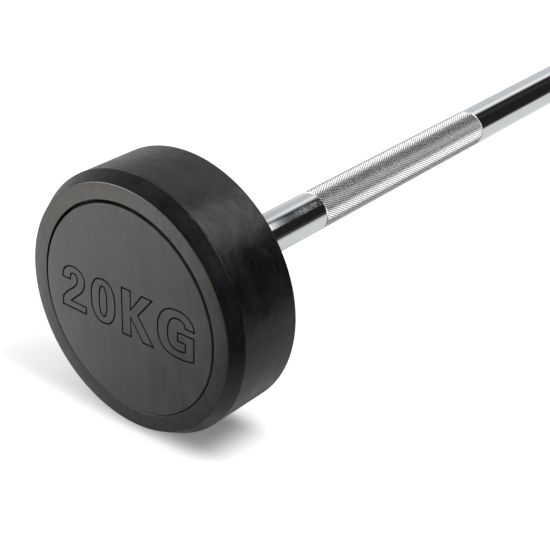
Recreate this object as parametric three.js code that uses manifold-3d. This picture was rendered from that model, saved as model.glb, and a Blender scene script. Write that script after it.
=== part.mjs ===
// Fixed barbell with two round rubber heads on a chromed, knurled bar.
// Millimetres, +Z up. The origin is the middle of the bar, on its axis, and X runs along the bar.
// A head is built in its own frame: its outer face is at y = 0 and y grows towards the bar's middle.

import * as THREE from "three";
import { mergeVertices } from "three/addons/utils/BufferGeometryUtils.js";
import Module from "manifold-3d";

const wasm = await Module();
wasm.setup();

// Whole barbell
const overallLength = 1120; // between the outer faces of the two heads
const seat = 0.3; // clearance between two pieces that are pressed or bolted together

// Bar
const barDiameter = 30;
const gripInset = 132; // smooth bar between a head and the knurled grip
const gripLength = 211;
const knurlRaise = 0.35; // the rolled knurl stands above the smooth bar by this much
const knurlLeadIn = 0.6; // length of the bevel at each end of a grip
const shoulderHeight = 2.5; // step from the bar down to the spigot that carries the head
const spigotSetback = 0.6; // the spigot stops short of the washer, so the bolt clamps the head
const spigotBevel = 1;
const tapRunout = 6; // tapped hole beyond the bolt's end
const tapCone = 3.4; // drill point at the bottom of the tapped hole

// Rubber casing of a head
const headDiameter = 182;
const headWidth = 57.5;
const rimWall = 9.8; // rubber around the core's rim
const frontWall = 7.3; // rubber ring in front of the core, which is also the recess for the cap
const backWall = 6;
const lipWidth = 7.3; // how far the front ring reaches in over the core's face
const bevelWidth = 5.5; // the conical edge between the outer face and the rim, across the radius
const bevelDepth = 10.5; // the same edge along the axis
const faceEdgeRound = 1.4; // radius between the outer face and the conical edge
const backEdge = 0.8; // small bevel of the back edge
const recessEdge = 0.4; // small bevel around the cap's recess
const boreEdge = 0.8; // small bevel where the bar enters the rubber

// Iron core of a head
const coreBevel = 2;

// Cap with its steel backing plate
const capGap = 1.6; // open groove around the cap
const capProud = 0.45; // the cap stands out of the rubber ring by this much
const capEdgeRound = 0.7;
const plateThickness = 2;
const plateInset = 3; // the backing plate stops short of the cap's edge
const plateBevel = 0.4;

// Bolt and washers
const boltDiameter = 12;
const boltLength = 40; // under the head
const boltHeadOverhang = 3;
const boltHeadHeight = 12;
const boltBevel = 0.9;
const socketAcross = 10; // hexagon socket, across its flats
const socketDepth = 6;
const washerHoleClearance = 0.5;
const plateWasherDiameter = 44;
const plateWasherThickness = 4;
const washerBevel = 0.5;
const springWasherWidth = 4; // radial width of the ring
const springWasherThickness = 2.5;
const springWasherCut = 1.4; // width of the slanted split
const pocketClearance = 1; // around the plate washer in the core's pocket
const headRoom = 1; // between the bolt's head and the cap's backing plate

// Key between spigot and core
const keyWidth = 8;
const keyHeight = 7;
const keyDepthInBar = 3.5;
const keyEndRoom = 2; // from each end of the core's bore to the key

// Cuts run past the faces they open by this much
const overrun = 2;

// Facets of round pieces, each a multiple of four so that a flat lies underneath
const headFacets = 72;
const barFacets = 48;
const smallFacets = 32;
const roundSteps = 4;
const springWasherCutTurn = Math.PI / 9;

// Sizes that follow from the ones above
const barRadius = barDiameter / 2;
const spigotRadius = barRadius - shoulderHeight;
const headRadius = headDiameter / 2;
const coreRadius = headRadius - rimWall - seat;
const recessRadius = headRadius - rimWall - lipWidth;
const capRadius = recessRadius - capGap;
const boltRadius = boltDiameter / 2;
const boltHeadRadius = boltRadius + boltHeadOverhang;
const tapRadius = boltRadius + seat;
const washerHoleRadius = boltRadius + washerHoleClearance;
const pocketRadius = plateWasherDiameter / 2 + pocketClearance;

// Places along a head, from its outer face inwards
const coreFront = frontWall + seat;
const coreBack = headWidth - backWall - seat;
const pocketDepth =
  headRoom + boltHeadHeight + seat + springWasherThickness + seat + plateWasherThickness + seat;
const pocketFloor = coreFront + pocketDepth;
const plateWasherBack = pocketFloor - seat;
const springWasherBack = plateWasherBack - plateWasherThickness - seat;
const boltHeadBack = springWasherBack - springWasherThickness - seat;
const boltEnd = boltHeadBack + boltLength;
const plateBack = frontWall;
const plateFront = plateBack - plateThickness;
const capBack = plateFront - seat;
const spigotEnd = pocketFloor + spigotSetback;
const shoulder = coreBack + seat;
const keyLength = coreBack - pocketFloor - keyEndRoom - keyEndRoom;
const keyMiddle = (pocketFloor + coreBack) / 2;

const materials = {
  chrome: new THREE.MeshStandardMaterial({ color: 0xd9dcdf, roughness: 0.1, metalness: 1 }),
  casingRubber: new THREE.MeshStandardMaterial({ color: 0x1b1b1c, roughness: 0.55, metalness: 0 }),
  capRubber: new THREE.MeshStandardMaterial({ color: 0x2b2a29, roughness: 0.6, metalness: 0 }),
  castIron: new THREE.MeshStandardMaterial({ color: 0x4a4a4b, roughness: 0.75, metalness: 0.7 }),
  zincSteel: new THREE.MeshStandardMaterial({ color: 0xa9abad, roughness: 0.4, metalness: 0.9 }),
  blackSteel: new THREE.MeshStandardMaterial({ color: 0x2d2d2f, roughness: 0.45, metalness: 0.8 }),
};

// A closed solid turned about the Y axis. Each point is a radius and a place along the axis.
function turned(points, facets) {
  const profile = points.map(([radius, along]) => new THREE.Vector2(radius, along));
  return new THREE.LatheGeometry(profile, facets, Math.PI / facets);
}

// A ring whose profile closes on itself.
function turnedRing(points, facets) {
  return turned([...points, points[0]], facets);
}

// Points of a quarter-like arc from one angle to another, both in radians from the outward radius.
function arc(centreRadius, centreAlong, radius, from, to) {
  return Array.from({ length: roundSteps + 1 }, (_, step) => {
    const angle = from + ((to - from) * step) / roundSteps;
    return [centreRadius + radius * Math.cos(angle), centreAlong + radius * Math.sin(angle)];
  });
}

// A closed geometry as a solid that can be joined and cut.
function solidOf(geometry) {
  const bare = geometry.clone();
  bare.deleteAttribute("normal");
  bare.deleteAttribute("uv");
  const merged = mergeVertices(bare);
  return new wasm.Manifold(
    new wasm.Mesh({
      numProp: 3,
      vertProperties: merged.attributes.position.array,
      triVerts: new Uint32Array(merged.index.array),
    }),
  );
}

function geometryOf(solid) {
  const mesh = solid.getMesh();
  const geometry = new THREE.BufferGeometry();
  geometry.setAttribute("position", new THREE.BufferAttribute(mesh.vertProperties, 3));
  geometry.setIndex(new THREE.BufferAttribute(mesh.triVerts, 1));
  geometry.computeVertexNormals();
  return geometry;
}

function cut(geometry, ...tools) {
  return geometryOf(tools.reduce((left, tool) => left.subtract(solidOf(tool)), solidOf(geometry)));
}

function piece(name, geometry, material) {
  const mesh = new THREE.Mesh(geometry, material);
  mesh.name = name;
  return mesh;
}

// The outline of a key with round ends, lying along Y.
function keyOutline(width, length) {
  const half = width / 2;
  const straight = length / 2 - half;
  const outline = new THREE.Shape();
  outline.moveTo(half, -straight);
  outline.absarc(0, straight, half, 0, Math.PI, false);
  outline.absarc(0, -straight, half, Math.PI, 2 * Math.PI, false);
  return outline;
}

// A key block from one height above the axis to another, in the middle of the core's bore.
function keyBlock(width, length, bottom, top) {
  const block = new THREE.ExtrudeGeometry(keyOutline(width, length), {
    depth: top - bottom,
    bevelEnabled: false,
    curveSegments: roundSteps,
  });
  return block.translate(0, 0, bottom);
}

// Chromed bar: two raised knurled grips, a spigot at each end and a tapped hole in it.
function bar() {
  const middleToFace = overallLength / 2;
  const gripOuter = middleToFace - headWidth - gripInset;
  const gripInner = gripOuter - gripLength;
  const end = middleToFace - spigotEnd;
  const step = middleToFace - shoulder;
  const tapBottom = middleToFace - boltEnd - tapRunout;
  const half = [
    [barRadius, gripInner],
    [barRadius + knurlRaise, gripInner + knurlLeadIn],
    [barRadius + knurlRaise, gripOuter - knurlLeadIn],
    [barRadius, gripOuter],
    [barRadius, step],
    [spigotRadius, step],
    [spigotRadius, end - spigotBevel],
    [spigotRadius - spigotBevel, end],
    [tapRadius + spigotBevel, end],
    [tapRadius, end - spigotBevel],
    [tapRadius, tapBottom],
    [0, tapBottom - tapCone],
  ];
  const otherHalf = half.map(([radius, along]) => [radius, -along]).reverse();
  const slots = [-1, 1].map((side) =>
    keyBlock(
      keyWidth + 2 * seat,
      keyLength + 2 * seat,
      spigotRadius - keyDepthInBar - seat,
      spigotRadius + overrun,
    ).translate(0, side * (middleToFace - keyMiddle), 0),
  );
  return cut(turned([...otherHalf, ...half], barFacets), ...slots);
}

// Rubber moulded round the core: front ring, conical edge, rim and back wall.
function casing() {
  const slope = Math.atan2(bevelWidth, bevelDepth);
  const faceRadius = headRadius - bevelWidth;
  const tangent = faceEdgeRound * Math.tan((Math.PI / 2 - slope) / 2);
  const cavityRadius = coreRadius + seat;
  return turnedRing(
    [
      [recessRadius, recessEdge],
      [recessRadius + recessEdge, 0],
      ...arc(faceRadius - tangent, faceEdgeRound, faceEdgeRound, -Math.PI / 2, -slope),
      [headRadius, bevelDepth],
      [headRadius, headWidth - backEdge],
      [headRadius - backEdge, headWidth],
      [barRadius + seat + boreEdge, headWidth],
      [barRadius + seat, headWidth - boreEdge],
      [barRadius + seat, headWidth - backWall],
      [cavityRadius, headWidth - backWall],
      [cavityRadius, frontWall],
      [recessRadius, frontWall],
    ],
    headFacets,
  );
}

// Cast-iron core: bored for the spigot, with a pocket for the bolt's head and a keyway.
function core() {
  const boreRadius = spigotRadius + seat;
  const ring = turnedRing(
    [
      [pocketRadius, coreFront],
      [coreRadius - coreBevel, coreFront],
      [coreRadius, coreFront + coreBevel],
      [coreRadius, coreBack - coreBevel],
      [coreRadius - coreBevel, coreBack],
      [boreRadius, coreBack],
      [boreRadius, pocketFloor],
      [pocketRadius, pocketFloor],
    ],
    headFacets,
  );
  const keywayTop = spigotRadius - keyDepthInBar + keyHeight + seat;
  const keyway = new THREE.BoxGeometry(
    keyWidth + 2 * seat,
    coreBack - pocketFloor + 2 * overrun,
    keywayTop,
  ).translate(0, keyMiddle, keywayTop / 2);
  return cut(ring, keyway);
}

// Rubber disc in the outer face.
function cap() {
  return turned(
    [
      [0, -capProud],
      ...arc(capRadius - capEdgeRound, capEdgeRound - capProud, capEdgeRound, -Math.PI / 2, 0),
      [capRadius, capBack],
      [0, capBack],
    ],
    headFacets,
  );
}

// Steel disc that stiffens the cap.
function capPlate() {
  const radius = capRadius - plateInset;
  return turned(
    [
      [0, plateFront],
      [radius - plateBevel, plateFront],
      [radius, plateFront + plateBevel],
      [radius, plateBack],
      [0, plateBack],
    ],
    headFacets,
  );
}

// Hexagon-socket bolt that holds the head on the bar's end.
function bolt() {
  const headFace = boltHeadBack - boltHeadHeight;
  const body = turned(
    [
      [0, headFace],
      [boltHeadRadius - boltBevel, headFace],
      [boltHeadRadius, headFace + boltBevel],
      [boltHeadRadius, boltHeadBack],
      [boltRadius, boltHeadBack],
      [boltRadius, boltEnd - boltBevel],
      [boltRadius - boltBevel, boltEnd],
      [0, boltEnd],
    ],
    smallFacets,
  );
  const cornerRadius = socketAcross / Math.sqrt(3);
  const cutLength = socketDepth + overrun;
  const socket = new THREE.CylinderGeometry(cornerRadius, cornerRadius, cutLength, 6);
  return cut(body, socket.translate(0, headFace + socketDepth - cutLength / 2, 0));
}

function plateWasher() {
  const outer = plateWasherDiameter / 2;
  const front = plateWasherBack - plateWasherThickness;
  return turnedRing(
    [
      [washerHoleRadius, front],
      [outer - washerBevel, front],
      [outer, front + washerBevel],
      [outer, plateWasherBack],
      [washerHoleRadius, plateWasherBack],
    ],
    smallFacets,
  );
}

// Split ring under the bolt's head, pressed flat.
function springWasher() {
  const outer = washerHoleRadius + springWasherWidth;
  const front = springWasherBack - springWasherThickness;
  const ring = turnedRing(
    [
      [washerHoleRadius, front],
      [outer, front],
      [outer, springWasherBack],
      [washerHoleRadius, springWasherBack],
    ],
    smallFacets,
  );
  const split = new THREE.BoxGeometry(
    springWasherWidth + overrun,
    springWasherThickness + 2 * overrun,
    springWasherCut,
  );
  split.rotateX(springWasherCutTurn);
  split.translate(washerHoleRadius + springWasherWidth / 2, (front + springWasherBack) / 2, 0);
  return cut(ring, split);
}

function driveKey() {
  const bottom = spigotRadius - keyDepthInBar;
  return keyBlock(keyWidth, keyLength, bottom, bottom + keyHeight).translate(0, keyMiddle, 0);
}

function head(side) {
  const group = new THREE.Group();
  group.add(
    piece(`${side}_head_casing`, casing(), materials.casingRubber),
    piece(`${side}_head_core`, core(), materials.castIron),
    piece(`${side}_end_cap`, cap(), materials.capRubber),
    piece(`${side}_cap_plate`, capPlate(), materials.zincSteel),
    piece(`${side}_end_bolt`, bolt(), materials.blackSteel),
    piece(`${side}_spring_washer`, springWasher(), materials.zincSteel),
    piece(`${side}_plate_washer`, plateWasher(), materials.zincSteel),
    piece(`${side}_drive_key`, driveKey(), materials.blackSteel),
  );
  return group;
}

const barbell = new THREE.Group();

const barMesh = piece("bar", bar(), materials.chrome);
barMesh.rotation.z = -Math.PI / 2;
barbell.add(barMesh);

const leftHead = head("left");
leftHead.rotation.z = -Math.PI / 2;
leftHead.position.x = -overallLength / 2;
barbell.add(leftHead);

const rightHead = head("right");
rightHead.rotation.z = Math.PI / 2;
rightHead.position.x = overallLength / 2;
barbell.add(rightHead);

export default barbell;
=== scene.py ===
"""Fixed barbell: the looks of its bar and heads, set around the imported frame.

Metres, +Z up, X along the bar, the origin at the middle of the bar. Shapes are drawn in
millimetres. A head is built in its own frame: (across, inwards, up), with its outer face at
inwards = 0.
"""

import math
import random

import bmesh
import bpy
from mathutils import Matrix, Vector
from mathutils.geometry import delaunay_2d_cdt

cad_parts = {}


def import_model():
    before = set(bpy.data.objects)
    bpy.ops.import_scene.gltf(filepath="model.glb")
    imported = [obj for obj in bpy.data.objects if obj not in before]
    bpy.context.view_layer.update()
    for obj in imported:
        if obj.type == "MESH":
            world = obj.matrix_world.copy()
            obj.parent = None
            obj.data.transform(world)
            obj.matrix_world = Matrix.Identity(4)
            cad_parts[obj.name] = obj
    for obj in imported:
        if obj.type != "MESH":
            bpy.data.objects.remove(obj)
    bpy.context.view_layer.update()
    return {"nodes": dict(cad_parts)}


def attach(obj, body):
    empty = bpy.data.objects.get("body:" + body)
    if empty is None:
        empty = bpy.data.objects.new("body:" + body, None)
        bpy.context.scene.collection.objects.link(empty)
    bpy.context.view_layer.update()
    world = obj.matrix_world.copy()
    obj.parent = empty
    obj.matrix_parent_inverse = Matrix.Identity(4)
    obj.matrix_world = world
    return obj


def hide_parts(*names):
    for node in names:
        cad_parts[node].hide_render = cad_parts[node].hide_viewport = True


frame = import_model()
MM = 0.001
SIDES = ("left", "right")

# Driving sizes in millimetres, the same as on the solids
OVERALL_LENGTH = 1120.0
SEAT = 0.3
BAR_RADIUS = 15.0
GRIP_INSET = 132.0
HEAD_RADIUS = 91.0
HEAD_WIDTH = 57.5
RIM_WALL = 9.8
FRONT_WALL = 7.3
BACK_WALL = 6.0
LIP_WIDTH = 7.3
BEVEL_WIDTH = 5.5
CAP_PROUD = 0.45
CAP_BACK = 5.0
SHOULDER_HEIGHT = 2.5
SPIGOT_END = 28.6
SPIGOT_BEVEL = 1.0
BOLT_RADIUS = 6.0
TAP_BOTTOM = 66.6
TAP_CONE = 3.4

# Sizes that follow the photo more closely than the solids do
CASING_WIDTH = 58.4  # 57.5 on the solids
BEVEL_DEPTH = 9.9  # 10.5 on the solids
CAP_GAP = 1.3  # 1.6 on the solids
CAP_SAG = 0.9  # 0 on the solids
KNURL_PERIOD = 3.2
GRIP_LENGTH = 66 * KNURL_PERIOD  # 211 on the solids

# Sizes worked out from those
BAR_END = OVERALL_LENGTH / 2
SHOULDER = HEAD_WIDTH - BACK_WALL
SPIGOT_RADIUS = BAR_RADIUS - SHOULDER_HEIGHT
TAP_RADIUS = BOLT_RADIUS + SEAT
RECESS_RADIUS = HEAD_RADIUS - RIM_WALL - LIP_WIDTH
CAP_RADIUS = RECESS_RADIUS - CAP_GAP

# The camera, as fitted to the photo
FRAME_PIXELS = 550.0
FOCAL_PIXELS = 1388.0
SENSOR_MM = 36.0
CAMERA_HEADING = math.radians(39.534)
CAMERA_PITCH = math.radians(27.339)
CAMERA_ROLL = math.radians(0.446)
CAMERA_NEAR = 0.02  # metres
FACE_RIGHT = -1.0367  # from the camera to the near head's outer face, in head radii
FACE_DOWN = 0.2358
FACE_AHEAD = 9.6745

# Meshes
MERGE_WITHIN = 1e-6  # metres between points that become one
ON_AXIS = 1e-9  # a radius in millimetres that counts as zero
SMOOTH_ANGLE = 28.0  # degrees between faces, up to which an edge looks smooth

# A head's own frame turned to the world's. The bar is turned as the left head is.
HEAD_TURN = {
    "left": Matrix(((0, 1, 0), (-1, 0, 0), (0, 0, 1))).to_4x4(),
    "right": Matrix(((0, -1, 0), (1, 0, 0), (0, 0, 1))).to_4x4(),
}


def head_matrix(side):
    """Carries a head's own frame to its end of the bar."""
    end = BAR_END * MM if side == "right" else -BAR_END * MM
    return Matrix.Translation((end, 0, 0)) @ HEAD_TURN[side]


def arc(centre, radius, start, end, steps):
    """Points of an arc in a profile plane. Angles are in degrees from the first axis."""
    points = []
    for step in range(steps + 1):
        angle = math.radians(start + (end - start) * step / steps)
        points.append((centre[0] + radius * math.cos(angle), centre[1] + radius * math.sin(angle)))
    return points


def round_axis(radius, along, angle):
    """The point at a radius and an angle round the axis of a head or the bar."""
    return (radius * math.cos(angle), along, radius * math.sin(angle))


class Shape:
    """Vertices in millimetres and faces with a material number, gathered into one mesh."""

    def __init__(self):
        self.points = []
        self.faces = []
        self.kinds = []

    def point(self, place):
        self.points.append(place)
        return len(self.points) - 1

    def ring(self, radius, along, count):
        angles = [2 * math.pi * step / count for step in range(count)]
        return [self.point(round_axis(radius, along, angle)) for angle in angles]

    def face(self, corners, kind=0):
        self.faces.append(list(corners))
        self.kinds.append(kind)

    def band(self, first, second):
        """Faces between two rings."""
        for step, corner in enumerate(first):
            after = (step + 1) % len(first)
            self.face((corner, first[after], second[after], second[step]))

    def fan(self, ring, centre, flip=False):
        """Faces between a ring and a point."""
        for step, corner in enumerate(ring):
            after = ring[(step + 1) % len(ring)]
            self.face((after, corner, centre) if flip else (corner, after, centre))

    def build(self, name, materials, matrix, smooth_angle=SMOOTH_ANGLE):
        """The scene's object, with sharp edges where faces meet at more than the angle."""
        mesh = bpy.data.meshes.new(name)
        places = [matrix @ (Vector(p) * MM) for p in self.points]
        mesh.from_pydata(places, [], self.faces)
        for polygon, kind in zip(mesh.polygons, self.kinds):
            polygon.material_index = kind
        work = bmesh.new()
        work.from_mesh(mesh)
        bmesh.ops.remove_doubles(work, verts=work.verts, dist=MERGE_WITHIN)
        bmesh.ops.recalc_face_normals(work, faces=work.faces)
        limit = math.radians(smooth_angle)
        for edge in work.edges:
            sharp = len(edge.link_faces) == 2 and edge.calc_face_angle(0.0) > limit
            edge.smooth = not sharp
        for face in work.faces:
            face.smooth = True
        work.to_mesh(mesh)
        work.free()
        for material in materials:
            mesh.materials.append(material)
        piece = bpy.data.objects.new(name, mesh)
        bpy.context.scene.collection.objects.link(piece)
        return piece


def turned(shape, profile, count, closed=False):
    """Turns (radius, along) points about the axis. A radius of zero becomes one point."""
    rings = []
    for radius, along in profile:
        if radius < ON_AXIS:
            rings.append(shape.point((0.0, along, 0.0)))
        else:
            rings.append(shape.ring(radius, along, count))
    following = rings[1:] + rings[:1] if closed else rings[1:]
    for first, second in zip(rings, following):
        if isinstance(first, int):
            shape.fan(second, first, flip=True)
        elif isinstance(second, int):
            shape.fan(first, second)
        else:
            shape.band(first, second)
    return rings


class Nodes:
    """The node tree of a material or the world, with short calls to add and join nodes.

    A ramp is two pairs: the ends of a span of values, and the levels there.
    """

    def __init__(self, owner, output="OutputMaterial"):
        owner.use_nodes = True
        self.owner = owner
        self.tree = owner.node_tree
        self.tree.nodes.clear()
        self.output = self.tree.nodes.new("ShaderNode" + output)

    def add(self, kind, inputs=None, **settings):
        """A new node. Its inputs are values or other nodes' sockets, by name or number."""
        node = self.tree.nodes.new("ShaderNode" + kind)
        for key, value in settings.items():
            setattr(node, key, value)
        for key, value in (inputs or {}).items():
            socket = node.inputs[key]
            if isinstance(value, bpy.types.NodeSocket):
                self.tree.links.new(value, socket)
            else:
                socket.default_value = value
        return node

    def show(self, shader):
        """Joins a shader to the output, and returns the material or world."""
        self.tree.links.new(shader, self.output.inputs["Surface"])
        return self.owner

    def finish(self, inputs):
        """Ends a material with one Principled shader."""
        return self.show(self.add("BsdfPrincipled", inputs).outputs[0])

    def math(self, operation, *values):
        return self.add("Math", dict(enumerate(values)), operation=operation).outputs[0]

    def times(self, first, *others):
        for value in others:
            first = self.math("MULTIPLY", first, value)
        return first

    def plus(self, first, *others):
        for value in others:
            first = self.math("ADD", first, value)
        return first

    def minus(self, first, second):
        return self.math("SUBTRACT", first, second)

    def past(self, value, middle, half):
        """How far a value lies beyond the stretch from middle - half to middle + half."""
        away = self.math("ABSOLUTE", self.minus(value, middle))
        return self.math("MAXIMUM", self.minus(away, half), 0.0)

    def where(self, kind="Object"):
        return self.add("TexCoord").outputs[kind]

    def place(self, scale=(1, 1, 1), slant=0.0):
        """The place on the object, scaled for a texture and turned about X by slant."""
        inputs = {"Vector": self.where(), "Rotation": (slant, 0, 0), "Scale": scale}
        return self.add("Mapping", inputs).outputs[0]

    def split(self, vector):
        parts = self.add("SeparateXYZ", {0: vector}).outputs
        return parts["X"], parts["Y"], parts["Z"]

    def measure(self, operation, *vectors):
        """A length or distance of vectors."""
        inputs = dict(enumerate(vectors))
        return self.add("VectorMath", inputs, operation=operation).outputs["Value"]

    def noise(self, vector, scale, detail=4.0, roughness=0.55):
        inputs = {"Vector": vector, "Scale": scale, "Detail": detail, "Roughness": roughness}
        return self.add("TexNoise", inputs).outputs["Fac"]

    def span(self, value, ends, levels, kind="LINEAR"):
        """Runs straight from one level to the other, and stays level outside the ends."""
        inputs = {
            "Value": value,
            "From Min": ends[0],
            "From Max": ends[1],
            "To Min": levels[0],
            "To Max": levels[1],
        }
        return self.add("MapRange", inputs, clamp=True, interpolation_type=kind).outputs[0]

    def ease(self, value, ends, levels):
        """As span, with a soft start and end."""
        return self.span(value, ends, levels, "SMOOTHSTEP")

    def beam(self, value, rise, fall, level):
        """Rises softly from nothing to a level over one pair of ends, and falls over another."""
        up = self.ease(value, rise, (0.0, level))
        return self.times(up, self.ease(value, fall, (1.0, 0.0)))

    def mix(self, factor, first, second):
        """A colour between two colours."""
        return self.add("Mix", {0: factor, 6: first, 7: second}, data_type="RGBA").outputs[2]

    def blend(self, factor, first, second):
        """A number between two numbers."""
        return self.add("Mix", {0: factor, 2: first, 3: second}, data_type="FLOAT").outputs[0]

    def scaled(self, colour, factor):
        inputs = {0: colour[:3], "Scale": factor}
        return self.add("VectorMath", inputs, operation="SCALE").outputs[0]

    def bump(self, height, strength, distance, normal=None):
        inputs = {"Height": height, "Strength": strength, "Distance": distance}
        if normal:
            inputs["Normal"] = normal
        return self.add("Bump", inputs).outputs[0]

    def diffuse(self, colour):
        return self.add("BsdfDiffuse", {"Color": colour}).outputs[0]

    def emission(self, colour, strength):
        return self.add("Emission", {"Color": colour, "Strength": strength}).outputs[0]

    def background(self, colour, strength):
        return self.add("Background", {"Color": colour, "Strength": strength}).outputs[0]

    def both(self, first, second):
        return self.add("AddShader", {0: first, 1: second}).outputs[0]

    def choose(self, factor, first, second):
        return self.add("MixShader", {0: factor, 1: first, 2: second}).outputs[0]

    def by_ray(self, camera, mirrored, other):
        """One shader for what the camera sees, one for reflections and one for other light."""
        path = self.add("LightPath").outputs
        unseen = self.choose(path["Is Glossy Ray"], other, mirrored)
        return self.choose(path["Is Camera Ray"], unseen, camera)


def material_nodes(name):
    return Nodes(bpy.data.materials.new(name))


def grey(level, warm=0.0):
    """A grey, with its red raised and its blue lowered by a share of the level."""
    return (level * (1 + warm), level, level * (1 - warm), 1.0)


# Looks of the materials
NOISE_ENDS = (0.3, 0.7)  # nearly all of a noise lies between these
CHROME_DULL = (0.74, 0.772, 0.795, 1)
CHROME_BRIGHT = (0.78, 0.81, 0.83, 1)
RIPPLE_FALL = ((0.383, 0.41), (1.0, 0.05))  # over metres from the bar's middle
RIPPLE_RISE = ((0.3, 0.37), (0.0, 1.0))
# The knurl's valleys are darkened as painted shade and dirt; its crests are bright
KNURL_SHADE_AND_DIRT = (0.45, 0.45, 0.44, 1)
KNURL_BRIGHT = (0.97, 0.97, 0.96, 1)
KNURL_SHADE_RADIUS = 14.6  # millimetres
KNURL_BRIGHT_RADIUS = 15.06
CASING_COLOUR = grey(0.0085, 0.06)
BLOOM_COLOUR = (0.026, 0.023, 0.021, 1)
BLOOM_CENTRE = (-0.514, -0.058, 0.07)  # a pale patch on the left head's rim, in metres
BLOOM_EDGE = ((0.01, 0.034), (1.0, 0.0))
BLOOM_RAGGED = (0.016, -0.016)
CAP_COLOUR = grey(0.045, 0.012)
CAP_SLANT = math.radians(12)
CAP_NOISE_ENDS = (0.36, 0.64)
CAP_CONTRAST = (0.8, 1.2)
# The grooves are nearly black as painted shade, with a little dust
GROOVE_SHADE = grey(0.002)
GROOVE_DUST = grey(0.007)
IRON_COLOUR = grey(0.09)
RUST_COLOUR = (0.12, 0.06, 0.03, 1)
ZINC_COLOURS = (grey(0.5), grey(0.62))
ZINC_ROUGHNESS = (0.32, 0.5)
BLACK_COLOURS = (grey(0.03), grey(0.05))
BLACK_ROUGHNESS = (0.34, 0.52)


def chrome_material():
    """Polished chrome: a faint haze, fine turning marks, and a ripple beside the knurls."""
    n = material_nodes("chrome")
    haze = n.noise(n.place((0.3, 1, 1)), scale=55.0, detail=5.0)
    marks = n.noise(n.place((0.05, 1, 1)), scale=900.0, detail=3.0)
    along, _, _ = n.split(n.where())
    out = n.math("ABSOLUTE", along)
    near_knurl = n.times(n.ease(out, *RIPPLE_FALL), n.span(out, *RIPPLE_RISE))
    waves = n.noise(n.place((1, 0.6, 0.6)), scale=520.0, detail=3.0, roughness=0.6)
    fine = n.bump(marks, strength=0.02, distance=0.0002)
    ripple = n.bump(n.times(waves, near_knurl), strength=0.6, distance=0.00008, normal=fine)
    return n.finish(
        {
            "Base Color": n.mix(haze, CHROME_DULL, CHROME_BRIGHT),
            "Metallic": 1.0,
            "Roughness": n.span(haze, (0.35, 0.75), (0.035, 0.075)),
            "Normal": ripple,
        }
    )


def knurl_material():
    """Chrome of the knurl: darker in its valleys as painted shade and dirt, bright on its worn crests.
    """
    n = material_nodes("knurled_chrome")
    radius = n.measure("LENGTH", n.place((0, 1, 1)))
    crest_ends = (KNURL_SHADE_RADIUS * MM, KNURL_BRIGHT_RADIUS * MM)
    # From the painted shade and dirt of the valleys to the bright crests
    crest = n.span(radius, crest_ends, (0.0, 1.0))
    wear = n.noise(n.where(), scale=130.0)
    return n.finish(
        {
            "Base Color": n.mix(crest, KNURL_SHADE_AND_DIRT, KNURL_BRIGHT),
            "Metallic": 1.0,
            "Roughness": n.span(wear, (0.35, 0.7), (0.21, 0.28)),
        }
    )


def casing_rubber():
    """Moulded rubber: soft clouds and specks in its sheen, stretched round the rim, and a bloom."""
    n = material_nodes("casing_rubber")
    where = n.place()
    cloud = n.noise(n.place((1.0, 0.5, 0.5)), scale=75.0, detail=3.0, roughness=0.6)
    speck = n.noise(n.place((1.0, 0.65, 0.65)), scale=380.0, detail=2.0, roughness=0.5)
    streak = n.noise(n.place((1.0, 0.12, 0.12)), scale=260.0, detail=2.0, roughness=0.5)
    patch = n.measure("DISTANCE", where, BLOOM_CENTRE)
    ragged = n.plus(patch, n.span(cloud, NOISE_ENDS, BLOOM_RAGGED))
    bloom = n.times(n.ease(ragged, *BLOOM_EDGE), n.span(speck, NOISE_ENDS, (0.55, 1.0)))
    tone = n.times(
        n.span(cloud, (0.36, 0.66), (0.78, 1.4)),
        n.span(speck, NOISE_ENDS, (0.8, 1.25)),
        n.span(streak, NOISE_ENDS, (0.82, 1.2)),
    )
    sheen = n.plus(n.times(cloud, 0.6), n.times(speck, 0.4))
    broad = n.noise(where, scale=110.0, detail=1.0, roughness=0.5)
    waves = n.bump(broad, strength=0.6, distance=0.00045)
    return n.finish(
        {
            "Base Color": n.mix(bloom, n.scaled(CASING_COLOUR, tone), BLOOM_COLOUR),
            "Roughness": n.span(sheen, (0.38, 0.62), (0.24, 0.36)),
            "Specular IOR Level": 0.5,
            "Normal": n.bump(speck, strength=0.35, distance=0.00003, normal=waves),
        }
    )


def cap_rubber():
    """Flat rubber disc: faint upright streaks, slightly slanted, and a soft mottle."""
    n = material_nodes("cap_rubber")
    where = n.where()
    streak = n.noise(n.place((1, 1, 0.16), CAP_SLANT), scale=120.0, detail=5.0, roughness=0.6)
    cloud = n.noise(where, scale=45.0, detail=5.0, roughness=0.62)
    fine = n.noise(where, scale=900.0, detail=3.0)
    tone = n.times(
        n.span(cloud, CAP_NOISE_ENDS, CAP_CONTRAST),
        n.span(streak, CAP_NOISE_ENDS, CAP_CONTRAST),
    )
    sheen = n.plus(n.times(cloud, 0.45), n.times(streak, 0.55))
    return n.finish(
        {
            "Base Color": n.scaled(CAP_COLOUR, tone),
            "Roughness": n.span(sheen, (0.4, 0.6), (0.42, 0.5)),
            "Specular IOR Level": 0.43,
            "Normal": n.bump(fine, strength=0.05, distance=0.0001),
        }
    )


def groove_material():
    """The engraved grooves: nearly black as painted shade, with a little dust."""
    n = material_nodes("groove_shadow")
    dust = n.noise(n.place(), scale=700.0)
    return n.finish(
        {
            "Base Color": n.mix(dust, GROOVE_SHADE, GROOVE_DUST),
            "Roughness": n.span(dust, NOISE_ENDS, (0.75, 0.95)),
            "Specular IOR Level": 0.15,
        }
    )


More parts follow.
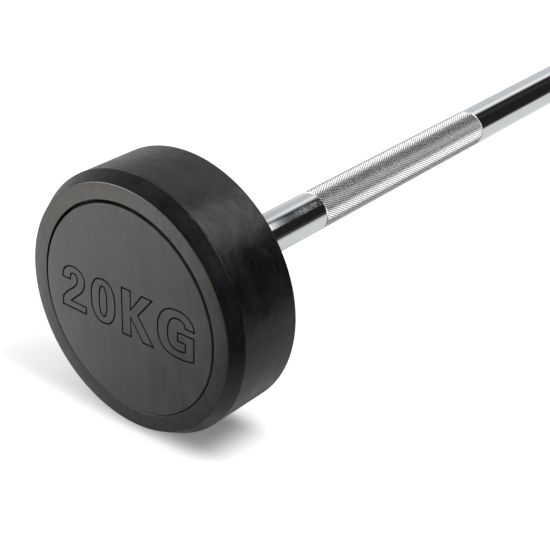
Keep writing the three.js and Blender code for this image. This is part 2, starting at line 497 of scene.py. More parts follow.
def iron_material():
    """Sand-cast iron with a few patches of rust."""
    n = material_nodes("cast_iron")
    where = n.place()
    sand = n.noise(where, scale=420.0, detail=6.0, roughness=0.7)
    rust = n.noise(where, scale=35.0, detail=5.0)
    return n.finish(
        {
            "Base Color": n.mix(n.span(rust, (0.55, 0.75), (0.0, 0.5)), IRON_COLOUR, RUST_COLOUR),
            "Metallic": 0.7,
            "Roughness": n.span(sand, NOISE_ENDS, (0.6, 0.85)),
            "Normal": n.bump(sand, strength=0.6, distance=0.0006),
        }
    )


def steel_material(name, colours, roughness):
    """Coated steel: a faint spangle between two colours, and turning marks."""
    n = material_nodes(name)
    spangle = n.add("TexVoronoi", {"Vector": n.place(), "Scale": 160.0}).outputs["Distance"]
    lines = n.noise(n.place((1, 0.08, 1)), scale=800.0, detail=3.0)
    return n.finish(
        {
            "Base Color": n.mix(spangle, *colours),
            "Metallic": 1.0,
            "Roughness": n.span(lines, NOISE_ENDS, roughness),
            "Normal": n.bump(lines, strength=0.1, distance=0.0002),
        }
    )


# Lettering: outlines in shares of the letter height, from the middle of the word's baseline
LETTER_HEIGHT = 33.4
LETTER_DROP = 17.3
GROOVE_WIDTH = 1.15
GROOVE_DEPTH = 1.0
WORD_TURN = {"left": math.radians(-2.6), "right": math.radians(1.5)}
CURVE_STEPS = 14
OVAL_STEPS = 72
MITRE_LIMIT = 0.45
SAME_POINT_SHARE = 1e-4

TWO_SHARES = [
    ("to", -1.725, 0.655),
    ("curve", -1.735, 0.82, -1.62, 0.96, -1.43, 0.96),
    ("curve", -1.24, 0.96, -1.125, 0.86, -1.125, 0.7),
    ("curve", -1.125, 0.57, -1.2, 0.465, -1.305, 0.37),
    ("curve", -1.39, 0.295, -1.47, 0.225, -1.515, 0.175),
    ("to", -1.1, 0.17),
    ("to", -1.105, 0.02),
    ("to", -1.75, 0.02),
    ("to", -1.745, 0.19),
    ("curve", -1.685, 0.3, -1.56, 0.4, -1.455, 0.48),
    ("curve", -1.37, 0.56, -1.325, 0.61, -1.325, 0.695),
    ("curve", -1.325, 0.775, -1.36, 0.815, -1.42, 0.815),
    ("curve", -1.49, 0.815, -1.52, 0.76, -1.52, 0.655),
]
ZERO_CENTRE_SHARES = (-0.622, 0.5)
ZERO_OUTER_SHARES = (0.321, 0.481)
ZERO_INNER_SHARES = (0.102, 0.333)
ZERO_POWER = 2.35
K_SHARES = [
    ("to", -0.11, 1.01),
    ("to", 0.12, 1.01),
    ("to", 0.115, 0.595),
    ("to", 0.42, 1.005),
    ("to", 0.685, 1.005),
    ("to", 0.31, 0.543),
    ("to", 0.704, 0.003),
    ("to", 0.43, -0.003),
    ("to", 0.115, 0.445),
    ("to", 0.12, 0.003),
    ("to", -0.107, 0.003),
]
G_SHARES = [
    ("to", 1.75, 0.745),
    ("curve", 1.735, 0.93, 1.58, 1.06, 1.325, 1.06),
    ("curve", 1.0, 1.06, 0.82, 0.84, 0.82, 0.51),
    ("curve", 0.82, 0.2, 0.99, 0.037, 1.29, 0.037),
    ("curve", 1.46, 0.035, 1.61, 0.055, 1.735, 0.1),
    ("to", 1.735, 0.605),
    ("to", 1.335, 0.593),
    ("to", 1.33, 0.408),
    ("to", 1.525, 0.408),
    ("to", 1.52, 0.238),
    ("curve", 1.46, 0.21, 1.4, 0.2, 1.325, 0.2),
    ("curve", 1.16, 0.2, 1.075, 0.31, 1.075, 0.51),
    ("curve", 1.075, 0.74, 1.16, 0.883, 1.335, 0.883),
    ("curve", 1.44, 0.883, 1.51, 0.84, 1.525, 0.745),
]


def traced(shares):
    """A closed outline in millimetres, with its curves sampled."""
    points = []
    for kind, *numbers in shares:
        pairs = [Vector(numbers[i : i + 2]) for i in range(0, len(numbers), 2)]
        if kind == "to":
            points.append(pairs[0])
            continue
        start = points[-1]
        for step in range(1, CURVE_STEPS + 1):
            t = step / CURVE_STEPS
            u = 1 - t
            near_start = start * u**3 + pairs[0] * (3 * u * u * t)
            points.append(near_start + pairs[1] * (3 * u * t * t) + pairs[2] * t**3)
    if (points[-1] - points[0]).length < SAME_POINT_SHARE:
        points.pop()
    return [p * LETTER_HEIGHT for p in points]


def bulged(share, power):
    """A cosine or sine bent towards its ends, which squares an oval's corners."""
    return math.copysign(abs(share) ** (2 / power), share)


def rounded_oval(centre, half, power):
    """A closed outline in millimetres, between an ellipse and a rectangle."""
    points = []
    for step in range(OVAL_STEPS):
        angle = 2 * math.pi * step / OVAL_STEPS
        across = centre[0] + half[0] * bulged(math.cos(angle), power)
        up = centre[1] + half[1] * bulged(math.sin(angle), power)
        points.append(Vector((across, up)) * LETTER_HEIGHT)
    return points


def beside(points, distance):
    """The outline moved sideways by a distance, with mitred corners."""
    moved = []
    count = len(points)
    for index in range(count):
        before = (points[index] - points[index - 1]).normalized()
        after = (points[(index + 1) % count] - points[index]).normalized()
        first = Vector((-before.y, before.x))
        second = Vector((-after.y, after.x))
        middle = (first + second).normalized()
        reach = distance / max(MITRE_LIMIT, middle.dot(first))
        moved.append(points[index] + middle * reach)
    return moved


def word_outlines():
    """The mark 20KG. The zero has two outlines."""
    return [
        traced(TWO_SHARES),
        rounded_oval(ZERO_CENTRE_SHARES, ZERO_OUTER_SHARES, ZERO_POWER),
        rounded_oval(ZERO_CENTRE_SHARES, ZERO_INNER_SHARES, ZERO_POWER),
        traced(K_SHARES),
        traced(G_SHARES),
    ]


# The marked disc
HEAD_COUNT = 512  # steps round a head
CAP_EDGE = 0.7
CAP_EDGE_STEPS = 5
CAP_BEVEL = 0.3
ENGRAVE_WITHIN = 1e-5  # millimetres between points of the lettering that become one

# A groove's section: distances beside the outline, and depths
GROOVE_LOOPS = (
    (GROOVE_WIDTH / 2, 0.0),
    (GROOVE_WIDTH / 4, GROOVE_DEPTH),
    (-GROOVE_WIDTH / 4, GROOVE_DEPTH),
    (-GROOVE_WIDTH / 2, 0.0),
)


def engraved_face(shape, edge_radius, turn):
    """The disc's flat face, cut by grooves along the outlines of the lettering."""
    flat = []
    depths = []
    edges = []

    def loop(points, depth):
        start = len(flat)
        count = len(points)
        flat.extend(points)
        depths.extend([depth] * count)
        edges.extend((start + i, start + (i + 1) % count) for i in range(count))

    rim = [2 * math.pi * i / HEAD_COUNT for i in range(HEAD_COUNT)]
    loop([Vector((edge_radius * math.cos(a), edge_radius * math.sin(a))) for a in rim], 0.0)
    for outline in word_outlines():
        placed = [turn @ (p - Vector((0.0, LETTER_DROP))) for p in outline]
        for distance, depth in GROOVE_LOOPS:
            loop(beside(placed, distance), depth)
    found = delaunay_2d_cdt(flat, edges, [], 0, ENGRAVE_WITHIN, True)
    places, _, triangles, origins = found[:4]
    levels = [depths[o[0]] if o else 0.0 for o in origins]
    numbers = [shape.point((p.x, levels[i] - CAP_PROUD, p.y)) for i, p in enumerate(places)]
    for triangle in triangles:
        # Faces below the flat face take the second material: the grooves' painted shade
        deep = sum(levels[i] for i in triangle) > 0
        shape.face([numbers[i] for i in triangle], 1 if deep else 0)


def cap(side, materials):
    """The marked disc, low in its recess, with its lettering cut in the face."""
    shape = Shape()
    edge_radius = CAP_RADIUS - CAP_EDGE
    engraved_face(shape, edge_radius, Matrix.Rotation(WORD_TURN[side], 2))
    profile = [(edge_radius, -CAP_PROUD)]
    profile += arc((edge_radius, CAP_EDGE - CAP_PROUD), CAP_EDGE, -90, 0, CAP_EDGE_STEPS)[1:]
    profile += [
        (CAP_RADIUS, CAP_BACK - CAP_BEVEL),
        (CAP_RADIUS - CAP_BEVEL, CAP_BACK),
        (0.0, CAP_BACK),
    ]
    turned(shape, profile, HEAD_COUNT)
    lowered = Matrix.Translation((0, 0, -CAP_SAG * MM)) @ head_matrix(side)
    piece = shape.build(side + "_marked_cap", materials, lowered)
    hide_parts(side + "_end_cap")
    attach(piece, "root")


# The casing. A support is a ring beside an edge that keeps the rest of the face flat.
FACE_ROUND = 1.5
FACE_STEPS = 8
FACE_SUPPORT = 1.0
RECESS_ROUND = 0.4
RECESS_STEPS = 4
CONE_SHARES = (0.65, 0.9)  # points between the cone's two ends
BACK_ROUND = 0.5
BACK_STEPS = 5
BACK_SUPPORT = 3 * BACK_ROUND
BORE_EDGE = 0.8
BORE_SUPPORT = 2.0
CASING_SMOOTH_ANGLE = 40.0

# The mould's flash: shares of its height, and of its width along the rim, from the cone's end
FLASH_HEIGHT = 0.07
FLASH_WIDTH = 1.2
FLASH_SHARES = [
    (0.0, 0.0),
    (0.75, 0.15),
    (1.0, 0.45),
    (0.7, 0.8),
    (-0.25, 1.0),
    (0.0, 1.3),
    (0.0, 2.5),
]
FLASH_LEAST = 0.01
FLASH_MEAN_SHARE = 0.6
FLASH_SWELL_SHARE = 0.5
FLASH_ROUGH_SHARE = 0.5
FLASH_SWELLS = (7, 3)
FLASH_PHASE = 1
FLASH_SEED = 11

# Where the flash is torn, as angles round the rim, with two notches in the tear
TORN_FROM = math.radians(46)
TORN_TO = math.radians(92)
TORN_HEIGHT = 0.32
TORN_POWER = 0.7
TORN_ROUGH_SHARES = (0.8, 1.1)
NOTCHES = (math.radians(60.5), math.radians(56.5))
NOTCH_HALF = math.radians(1.2)
NOTCH_SHARE = 0.25

# Half the height of the solids' heads, which stand on one of their 72 sides
SOLID_SIDES = 72
RIM_LIMIT = HEAD_RADIUS * math.cos(math.pi / SOLID_SIDES)


def torn_flash():
    """Height of the mould's flash at each step round the rim: a ragged skin, torn at one place."""
    rng = random.Random(FLASH_SEED)
    heights = []
    for step in range(HEAD_COUNT):
        angle = 2 * math.pi * step / HEAD_COUNT
        swell = math.sin(FLASH_SWELLS[0] * angle) * math.sin(FLASH_SWELLS[1] * angle + FLASH_PHASE)
        height = FLASH_HEIGHT * (FLASH_MEAN_SHARE + FLASH_SWELL_SHARE * swell)
        height += FLASH_HEIGHT * rng.uniform(-FLASH_ROUGH_SHARE, FLASH_ROUGH_SHARE)
        share = (angle - TORN_FROM) / (TORN_TO - TORN_FROM)
        if 0 < share < 1:
            tear = TORN_HEIGHT * math.sin(math.pi * share) ** TORN_POWER
            height += tear * rng.uniform(*TORN_ROUGH_SHARES)
            for notch in NOTCHES:
                if abs(angle - notch) < NOTCH_HALF:
                    height *= NOTCH_SHARE
        heights.append(max(FLASH_LEAST, height))
    return heights


def casing_profile():
    """The casing's section, as (radius, inwards) points, and the number of its first flash point."""
    slope = math.degrees(math.atan2(BEVEL_WIDTH, BEVEL_DEPTH))
    tangent = FACE_ROUND * math.tan(math.radians((90 - slope) / 2))
    face_radius = HEAD_RADIUS - BEVEL_WIDTH - tangent
    cavity = HEAD_RADIUS - RIM_WALL
    bore = BAR_RADIUS + SEAT
    back = (HEAD_RADIUS - BACK_ROUND, CASING_WIDTH - BACK_ROUND)
    profile = arc((RECESS_RADIUS + RECESS_ROUND, RECESS_ROUND), RECESS_ROUND, 180, 270, RECESS_STEPS)
    profile += [(face_radius - FACE_SUPPORT, 0.0)]
    profile += arc((face_radius, FACE_ROUND), FACE_ROUND, -90, -slope, FACE_STEPS)
    for share in CONE_SHARES:
        profile += [(HEAD_RADIUS - (1 - share) * BEVEL_WIDTH, share * BEVEL_DEPTH)]
    first = len(profile)
    profile += [(HEAD_RADIUS, BEVEL_DEPTH + share * FLASH_WIDTH) for _, share in FLASH_SHARES]
    profile += [(HEAD_RADIUS, CASING_WIDTH - BACK_SUPPORT)]
    profile += arc(back, BACK_ROUND, 0, 90, BACK_STEPS)
    profile += [
        (HEAD_RADIUS - BACK_SUPPORT, CASING_WIDTH),
        (bore + BORE_SUPPORT, CASING_WIDTH),
        (bore + BORE_EDGE, CASING_WIDTH),
        (bore, CASING_WIDTH - BORE_EDGE),
        (bore, SHOULDER),
        (cavity, SHOULDER),
        (cavity, FRONT_WALL),
        (RECESS_RADIUS, FRONT_WALL),
    ]
    return profile, first


def casing(side, materials):
    """Rubber jacket: flat ring, conical edge, the mould's flash line, rim and back wall."""
    shape = Shape()
    profile, first = casing_profile()
    rings = turned(shape, profile, HEAD_COUNT, closed=True)
    heights = torn_flash()
    for (share, _), ring in zip(FLASH_SHARES, rings[first:]):
        for number, height in zip(ring, heights):
            across, along, up = shape.points[number]
            grow = 1 + share * height / HEAD_RADIUS
            shape.points[number] = (across * grow, along, up * grow)
    for number, (across, along, up) in enumerate(shape.points):
        across = max(-RIM_LIMIT, min(RIM_LIMIT, across))
        up = max(-RIM_LIMIT, min(RIM_LIMIT, up))
        shape.points[number] = (across, along, up)
    matrix = head_matrix(side)
    piece = shape.build(side + "_rubber_casing", materials, matrix, CASING_SMOOTH_ANGLE)
    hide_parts(side + "_head_casing")
    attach(piece, "root")


# The knurl: diamonds on a slanted lattice, with flats in shares of half a diamond
KNURL_STARTS = 52  # diamonds round the bar
KNURL_CREST = 15.12
KNURL_VALLEY = 14.56
KNURL_FLAT_SHARE = 0.34
KNURL_END_SHARE = 0.03
KNURL_LEAD = 0.25  # from the last plain ring to the knurl
DIAMOND = ((-1, 0), (0, -1), (1, 0), (0, 1))  # corners as columns and rows
BAR_COUNT = 4 * KNURL_STARTS  # steps round the bar
BAR_SMOOTH_ANGLE = 22.0


def knurl(shape, start, first_ring, last_ring):
    """Rolled diamonds between two rings of the bar, as truncated pyramids on a slanted lattice."""
    rows = round(2 * GRIP_LENGTH / KNURL_PERIOD)
    row_length = GRIP_LENGTH / rows
    wrap = 2 * KNURL_STARTS
    column_angle = 2 * math.pi / wrap

    def spot(column, row, radius):
        return shape.point(round_axis(radius, start + row * row_length, column * column_angle))

    lattice = {}
    for row, ring in ((0, first_ring), (rows, last_ring)):
        for column in range(row % 2, wrap, 2):
            lattice[column, row] = ring[2 * column]
    for row in range(1, rows):
        for column in range(row % 2, wrap, 2):
            lattice[column, row] = spot(column, row, KNURL_VALLEY)
    for row in range(1, rows):
        for column in range((row + 1) % 2, wrap, 2):
            corners = [lattice[(column + a) % wrap, row + b] for a, b in DIAMOND]
            shares = [(KNURL_FLAT_SHARE * a, KNURL_FLAT_SHARE * b) for a, b in DIAMOND]
            tops = [spot(column + a, row + b, KNURL_CREST) for a, b in shares]
            shape.face(tops, 1)
            for i in range(4):
                j = (i + 1) % 4
                shape.face((corners[i], corners[j], tops[j], tops[i]), 1)
    for row, way, ring in ((0, 1, first_ring), (rows, -1, last_ring)):
        for column in range(row % 2, wrap, 2):
            base = [ring[(2 * column + i) % BAR_COUNT] for i in range(5)]
            apex = lattice[(column + 1) % wrap, row + way]
            half = KNURL_FLAT_SHARE - KNURL_END_SHARE
            low = row + way * KNURL_END_SHARE
            tops = [
                spot(column + 1 - half, low, KNURL_CREST),
                spot(column + 1 + half, low, KNURL_CREST),
                spot(column + 1, row + way * KNURL_FLAT_SHARE, KNURL_CREST),
            ]
            shape.face(tops, 1)
            shape.face((*base, tops[1], tops[0]), 1)
            shape.face((base[4], apex, tops[2], tops[1]), 1)
            shape.face((apex, base[0], tops[0], tops[2]), 1)


# The slot for the drive key, in each spigot
KEY_WIDTH = 8.0
KEY_DEPTH = 3.5
SLOT_WIDTH = KEY_WIDTH + 2 * SEAT
SLOT_LENGTH = 19.8
SLOT_MIDDLE = 39.6
SLOT_BOTTOM = SPIGOT_RADIUS - KEY_DEPTH - SEAT
SLOT_OVERRUN = 2.0
SLOT_STEPS = 8


def key_slot(side):
    """A block with round ends, as large as the slot for the drive key."""
    shape = Shape()
    half = SLOT_WIDTH / 2
    straight = SLOT_LENGTH / 2 - half
    outline = arc((0.0, SLOT_MIDDLE + straight), half, 0, 180, SLOT_STEPS)
    outline += arc((0.0, SLOT_MIDDLE - straight), half, 180, 360, SLOT_STEPS)
    rings = []
    for height in (SLOT_BOTTOM, SPIGOT_RADIUS + SLOT_OVERRUN):
        rings.append([shape.point((across, along, height)) for across, along in outline])
    shape.face(rings[0])
    shape.face(rings[1])
    shape.band(*rings)
    return shape.build(side + "_slot", [], head_matrix(side))


def cut(piece, block):
    """Takes a block away from a piece, then drops the block."""
    modifier = piece.modifiers.new("cut", "BOOLEAN")
    modifier.operation = "DIFFERENCE"
    modifier.solver = "MANIFOLD"
    modifier.object = block
    bpy.context.view_layer.update()
    seen = piece.evaluated_get(bpy.context.evaluated_depsgraph_get())
    mesh = bpy.data.meshes.new_from_object(seen)
    piece.modifiers.clear()
    piece.data = mesh
    bpy.data.objects.remove(block)


def bar(materials):
    """The whole bar: spigots with their key slots, smooth chrome and two knurled grips."""
    shape = Shape()
    spigot_face = BAR_END - SPIGOT_END
    tap_bottom = BAR_END - TAP_BOTTOM
    shoulder = BAR_END - SHOULDER
    grip_outer = BAR_END - HEAD_WIDTH - GRIP_INSET
    grip_inner = grip_outer - GRIP_LENGTH
    lead_in = grip_inner - KNURL_LEAD
    end_half = [
        (0.0, tap_bottom - TAP_CONE),
        (TAP_RADIUS, tap_bottom),
        (TAP_RADIUS, spigot_face - SPIGOT_BEVEL),
        (TAP_RADIUS + SPIGOT_BEVEL, spigot_face),
        (SPIGOT_RADIUS - SPIGOT_BEVEL, spigot_face),
        (SPIGOT_RADIUS, spigot_face - SPIGOT_BEVEL),
        (SPIGOT_RADIUS, shoulder),
        (BAR_RADIUS, shoulder),
        (BAR_RADIUS, grip_outer + KNURL_LEAD),
        (BAR_RADIUS, grip_outer),
    ]
    middle = [(BAR_RADIUS, along) for along in (-grip_inner, -lead_in, lead_in, grip_inner)]
    left = turned(shape, [(radius, -along) for radius, along in end_half], BAR_COUNT)
    right = turned(shape, end_half, BAR_COUNT)
    centre = turned(shape, middle, BAR_COUNT)
    knurl(shape, -grip_outer, left[-1], centre[0])
    knurl(shape, grip_inner, centre[-1], right[-1])
    piece = shape.build("knurled_bar", materials, HEAD_TURN["left"], BAR_SMOOTH_ANGLE)
    for side in SIDES:
        cut(piece, key_slot(side))
    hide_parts("bar")
    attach(piece, "root")


# Studio, in metres: an over-lit white table, a dark camera side and a bright back wall
WHITE = grey(1.0)
FLOOR_SIZE = 24.0
FLOOR_GAP = 0.1  # millimetres under the heads
TABLE_WHITE = 0.8
MIRRORED_WHITE = 0.4
MIRRORED_GLOW = 0.7

# The head's shadow as the camera sees it, painted into the table's glow
SHADOW_MIDDLE = (-0.53, 0.049)
SHADOW_HALF = (0.013, 0.094)
SHADOW_STRETCH = 1.4
SHADOW_EDGE = ((0.0, 0.04), (0.0, 1.0))
SHADOW_CORE = ((0.0, 0.16), (0.17, 0.6))
TABLE_GLOW = ((-0.605, -0.57), (0.88, 0.75))

# The table in reflections of the bar, which show its right side, as a glow with painted light and
# shade
FRONT_SLANT = 0.2
FRONT_PIVOT = -0.53
FRONT_FADE = ((-0.36, -0.08), (0.06, 1.0))
RIGHT_LEVEL = ((-0.46, -0.3), (0.48, 0.8))
RIGHT_BACK = ((0.02, 0.3), (1.0, 0.75))
BEYOND_START = ((-0.02, 0.05), (0.0, 1.0))
BEYOND_LEVEL = ((-0.35, 0.05), (-0.3, 0.12))

# The table in reflections of the head's outer face, which show its left side, as a glow with painted
# light and shade
BESIDE_START = -0.68
BESIDE_SLOPE = 0.6
RISE_START = ((-0.005, 0.215), (0.0, 1.0))
RISE_POWER = 2.1
RISE_LEVEL = ((0.215, 0.4), (2.4, 1.3))
RISE_NEAR_FACE = ((-0.68, -0.64), (1.0, 0.9))
BEHIND_X = ((-0.8, -0.7), (0.28, 0.0))
BEHIND_Y = ((0.175, 0.225), (0.0, 1.0))
NEAR_LEVEL = ((-0.27, -0.06), (0.03, 0.52))

# The change between those two sides, the painted shade under the head, and the tint of that glow in
# reflections
SIDE_CHANGE = ((-0.565, -0.515), (0.0, 1.0))
UNDER_MIDDLE = -0.5
UNDER_EDGE_X = ((0.055, 0.075), (1.0, 0.0))
UNDER_EDGE_Y = ((0.045, 0.065), (1.0, 0.0))
UNDER_DEPTH = ((-0.52, -0.46), (0.53, 0.9))
TINT_CHANGE = ((-0.14, -0.05), (0.0, 1.0))
TINT_FRONT = (1.0, 0.99, 0.92, 1)
TINT_BACK = (0.99, 1.0, 1.0, 1)
TINT_LEFT = (1.0, 0.955, 0.9, 1)


def glow_with_painted_shadow(n, x, y):
    """The table's own light for the camera: full outside the head's shadow, less inside it, which
    paints that shadow over the lamp's real one.
    """
    across = n.times(n.past(x, SHADOW_MIDDLE[0], SHADOW_HALF[0]), SHADOW_STRETCH)
    along = n.past(y, SHADOW_MIDDLE[1], SHADOW_HALF[1])
    distance = n.math("SQRT", n.plus(n.times(across, across), n.times(along, along)))
    clear = n.ease(distance, *SHADOW_EDGE)
    core = n.span(y, *SHADOW_CORE)
    outer = n.span(x, *TABLE_GLOW)
    return n.plus(core, n.times(clear, n.minus(outer, core)))


def table_right(n, x, y):
    """How light the table's right side is in reflections, as painted light and shade: dark far in
    front, dim by the head.
    """
    slanted = n.plus(y, n.times(n.minus(x, FRONT_PIVOT), FRONT_SLANT))
    beyond = n.times(n.span(y, *BEYOND_START), n.span(x, *BEYOND_LEVEL))
    right = n.times(
        n.ease(x, *RIGHT_LEVEL),
        n.ease(y, *RIGHT_BACK),
        n.plus(beyond, 1.0),
    )
    return n.times(n.ease(slanted, *FRONT_FADE), right)


def table_left(n, x, y):
    """How light the table's left side is in reflections, as painted light and shade: dark in front,
    brightest behind.
    """
    beside_face = n.math("MAXIMUM", n.minus(x, BESIDE_START), 0.0)
    aside = n.plus(y, n.times(beside_face, BESIDE_SLOPE))
    behind = n.times(n.span(x, *BEHIND_X), n.span(y, *BEHIND_Y))
    rise = n.times(
        n.math("POWER", n.span(aside, *RISE_START), RISE_POWER),
        n.ease(aside, *RISE_LEVEL),
        n.ease(x, *RISE_NEAR_FACE),
        n.plus(behind, 1.0),
    )
    return n.plus(rise, n.ease(y, *NEAR_LEVEL))


def outside_painted_shade(n, x, y):
    """A factor for reflections: low under the near head as painted shade, 1 elsewhere."""
    away_x = n.math("ABSOLUTE", n.minus(x, UNDER_MIDDLE))
    away_y = n.math("ABSOLUTE", y)
    under = n.times(
        n.ease(away_x, *UNDER_EDGE_X),
        n.span(x, *UNDER_DEPTH),
        n.ease(away_y, *UNDER_EDGE_Y),
    )
    return n.minus(1.0, under)


def table_material():
    """White to the camera, with its own glow, lowered round the head as a painted shadow. Reflections
    see a glow with painted light and shade: darker in front and near the head.
    """
    n = material_nodes("white_table")
    x, y, _ = n.split(n.where())
    side = n.ease(x, *SIDE_CHANGE)
    mirror = n.blend(side, table_left(n, x, y), table_right(n, x, y))
    level = n.times(mirror, outside_painted_shade(n, x, y))
    tint = n.mix(side, TINT_LEFT, n.mix(n.span(y, *TINT_CHANGE), TINT_FRONT, TINT_BACK))
    white = n.diffuse(grey(TABLE_WHITE))
    # The camera sees the lamp's real shadow and a painted shadow in the glow
    seen = n.both(white, n.emission(WHITE, glow_with_painted_shadow(n, x, y)))
    # Reflections see the table as a glow with painted light and shade
    mirrored_white = n.times(n.math("MINIMUM", level, 1.0), MIRRORED_WHITE)
    mirrored_glow = n.emission(tint, n.times(level, MIRRORED_GLOW))
    mirrored = n.both(n.diffuse(mirrored_white), mirrored_glow)
    return n.show(n.by_ray(camera=seen, mirrored=mirrored, other=white))


def floor():
    """The table under the barbell, part of the studio only."""
    mesh = bpy.data.meshes.new("floor")
    half = FLOOR_SIZE / 2
    drop = -(RIM_LIMIT + FLOOR_GAP) * MM
    corners = [(-half, -half, drop), (half, -half, drop), (half, half, drop), (-half, half, drop)]
    mesh.from_pydata(corners, [], [(0, 1, 2, 3)])
    mesh.materials.append(table_material())
    plane = bpy.data.objects.new("floor", mesh)
    bpy.context.scene.collection.objects.link(plane)


# The world in reflections: beams over the angle round the bar, in degrees from the camera's side
BLACK_LEVEL = 0.012
WALL = ((85, 101), (0.0, 1.0))
PANEL_BEAM = ((93, 103), (112, 123), 0.55)
TOP_TURN = ((150, 180), (0.0, 0.45))
TOP_X = ((0.78, 0.82), (1.0, 0.0))
BACK_X = ((0.66, 0.72), (0.42, 0.64))
CEILING_Z = ((0.55, 0.85), (0.0, 0.65))
CEILING_X = ((0.0, 0.2), (1.0, 0.15))
END_WALL_X = ((0.86, 0.95), (0.0, 0.8))
SPILL_BEAM = ((48, 62), (64, 86), 0.06)
SPILL_END_X = ((0.704, 0.722), (1.0, 0.3))
SPILL_START_X = ((0.2, 0.5), (0.0, 1.0))
LAMP_BEAM = ((40, 50), (74, 92), 3.0)
LAMP_START_X = ((0.28, 0.42), (0.0, 1.0))
LAMP_FALL_X = ((0.55, 0.66), (1.0, 0.7))
LAMP_END_X = ((0.686, 0.703), (1.0, 0.0))
WING_BEAM = ((24, 36), (66, 84), 2.1)
WING_START_X = ((-0.08, 0.05), (0.0, 1.0))
WING_END_X = ((0.28, 0.42), (1.0, 0.0))
WINDOW_X = ((-0.6, -0.45), (10.0, 0.0))
WINDOW_Y = ((0.4, 0.5), (0.0, 1.0))
WINDOW_Z = ((0.25, 0.45), (1.0, 0.0))
DUSK_BEAM = ((4, 18), (36, 54), 0.15)
DUSK_X = ((-0.1, 0.1), (1.0, 0.0))
PANEL_COLOUR = (0.98, 0.99, 1.0, 1)
DUSK_COLOUR = (0.25, 0.35, 1.0, 1)
BROWN_COLOUR = (1.0, 0.55, 0.42, 1)
BROWN_LEVEL = 0.007

# The world's light on dull surfaces
SOFT_LEFT_X = ((-0.6, 0.3), (0.45, 0.0))
SOFT_BACK_Y = ((-0.4, 0.5), (0.1, 0.55))


def studio_panels(n, turn, x, y, z):
    """Light of the studio in reflections: walls behind and at the end, lamps and a window."""
    ceiling = n.times(n.ease(z, *CEILING_Z), n.ease(x, *CEILING_X))
    top = n.times(n.span(turn, *TOP_TURN), n.ease(x, *TOP_X))
    wall = n.plus(n.ease(turn, *WALL), n.beam(turn, *PANEL_BEAM), top)
    back = n.times(wall, n.span(x, *BACK_X), n.minus(1.0, ceiling))
    end_wall = n.ease(x, *END_WALL_X)
    lamp = n.times(
        n.beam(turn, *LAMP_BEAM),
        n.ease(x, *LAMP_START_X),
        n.span(x, *LAMP_FALL_X),
        n.ease(x, *LAMP_END_X),
    )
    wing = n.times(
        n.beam(turn, *WING_BEAM),
        n.ease(x, *WING_START_X),
        n.ease(x, *WING_END_X),
    )
    window = n.times(n.ease(x, *WINDOW_X), n.ease(y, *WINDOW_Y), n.ease(z, *WINDOW_Z))
    spill = n.times(
        n.beam(turn, *SPILL_BEAM),
        n.ease(x, *SPILL_END_X),
        n.ease(x, *SPILL_START_X),
    )
    lights = n.plus(n.plus(lamp, wing, window), spill)
    return n.plus(n.math("MAXIMUM", back, end_wall), lights, BLACK_LEVEL)


def world():
    """White to the camera. Reflections see panels set by their angle round the bar's axis."""
    made = bpy.data.worlds.new("studio")
    bpy.context.scene.world = made
    n = Nodes(made, "OutputWorld")
    x, y, z = n.split(n.where("Generated"))
    round_bar = n.math("ARCTAN2", z, n.times(y, -1.0))
    turn = n.times(round_bar, math.degrees(1))
    panels = n.background(PANEL_COLOUR, studio_panels(n, turn, x, y, z))
    dusk = n.times(n.beam(turn, *DUSK_BEAM), n.span(x, *DUSK_X))
    mirrored = n.both(panels, n.background(DUSK_COLOUR, dusk))
    mirrored = n.both(mirrored, n.background(BROWN_COLOUR, BROWN_LEVEL))
    soft = n.plus(n.ease(x, *SOFT_LEFT_X), n.ease(y, *SOFT_BACK_Y))
    seen = n.background(WHITE, 1.0)
    n.show(n.by_ray(camera=seen, mirrored=mirrored, other=n.background(WHITE, soft)))


# One soft lamp in front of the barbell, which no reflection shows
KEY_LIGHT_PLACE = (-0.45, -0.55, 0.85)
KEY_LIGHT_TARGET = (-0.5, 0.05, 0.0)
KEY_LIGHT_SIZE = (0.6, 0.4)
KEY_LIGHT_WATTS = 2.6


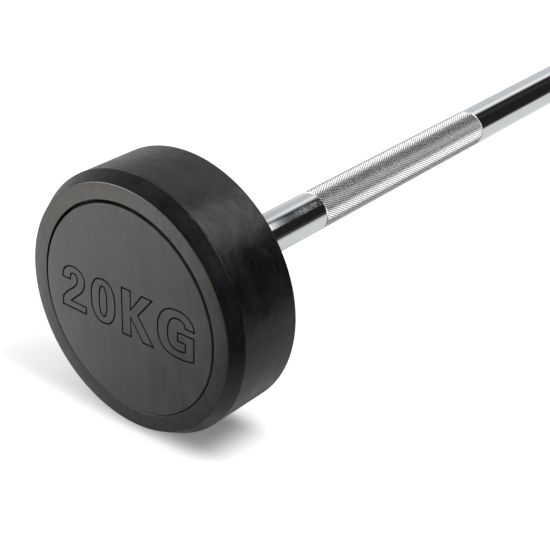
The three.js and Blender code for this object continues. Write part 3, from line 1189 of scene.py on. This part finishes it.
def key_light():
    data = bpy.data.lights.new("front_key", "AREA")
    data.shape = "RECTANGLE"
    data.size, data.size_y = KEY_LIGHT_SIZE
    data.energy = KEY_LIGHT_WATTS
    lamp = bpy.data.objects.new("front_key", data)
    bpy.context.scene.collection.objects.link(lamp)
    ahead = Vector(KEY_LIGHT_TARGET) - Vector(KEY_LIGHT_PLACE)
    lamp.location = KEY_LIGHT_PLACE
    lamp.rotation_euler = ahead.to_track_quat("-Z", "Y").to_euler()
    lamp.visible_glossy = False


def camera():
    """The photo's camera, as fitted to the head and the bar."""
    data = bpy.data.cameras.new("camera")
    data.sensor_width = SENSOR_MM
    data.lens = SENSOR_MM * FOCAL_PIXELS / FRAME_PIXELS
    data.clip_start = CAMERA_NEAR
    made = bpy.data.objects.new("camera", data)
    bpy.context.scene.collection.objects.link(made)
    turn, tip = CAMERA_HEADING, CAMERA_PITCH
    right = Vector((math.sin(turn), -math.cos(turn), 0))
    ahead = Vector((math.cos(turn) * math.cos(tip), math.sin(turn) * math.cos(tip), -math.sin(tip)))
    down = ahead.cross(right)
    face = Vector((-BAR_END * MM, 0, 0))
    seen = right * FACE_RIGHT + down * FACE_DOWN + ahead * FACE_AHEAD
    rolled = Matrix.Rotation(CAMERA_ROLL, 3, ahead)
    axes = (rolled @ right, -(rolled @ down), -ahead)
    made.location = face - seen * HEAD_RADIUS * MM
    made.rotation_euler = Matrix(axes).transposed().to_euler()
    bpy.context.scene.camera = made


camera()
world()
floor()
key_light()

bar_looks = [chrome_material(), knurl_material()]
casing_looks = [casing_rubber()]
cap_looks = [cap_rubber(), groove_material()]
iron = iron_material()
zinc = steel_material("zinc_steel", ZINC_COLOURS, ZINC_ROUGHNESS)
black = steel_material("black_steel", BLACK_COLOURS, BLACK_ROUGHNESS)
inner_looks = {
    "head_core": iron,
    "cap_plate": zinc,
    "plate_washer": zinc,
    "spring_washer": zinc,
    "end_bolt": black,
    "drive_key": black,
}

bar(bar_looks)
for side in SIDES:
    casing(side, casing_looks)
    cap(side, cap_looks)
    for node, material in inner_looks.items():
        solid = frame["nodes"][side + "_" + node]
        solid.data.materials.clear()
        solid.data.materials.append(material)

bpy.context.scene.view_settings.view_transform = "Standard"
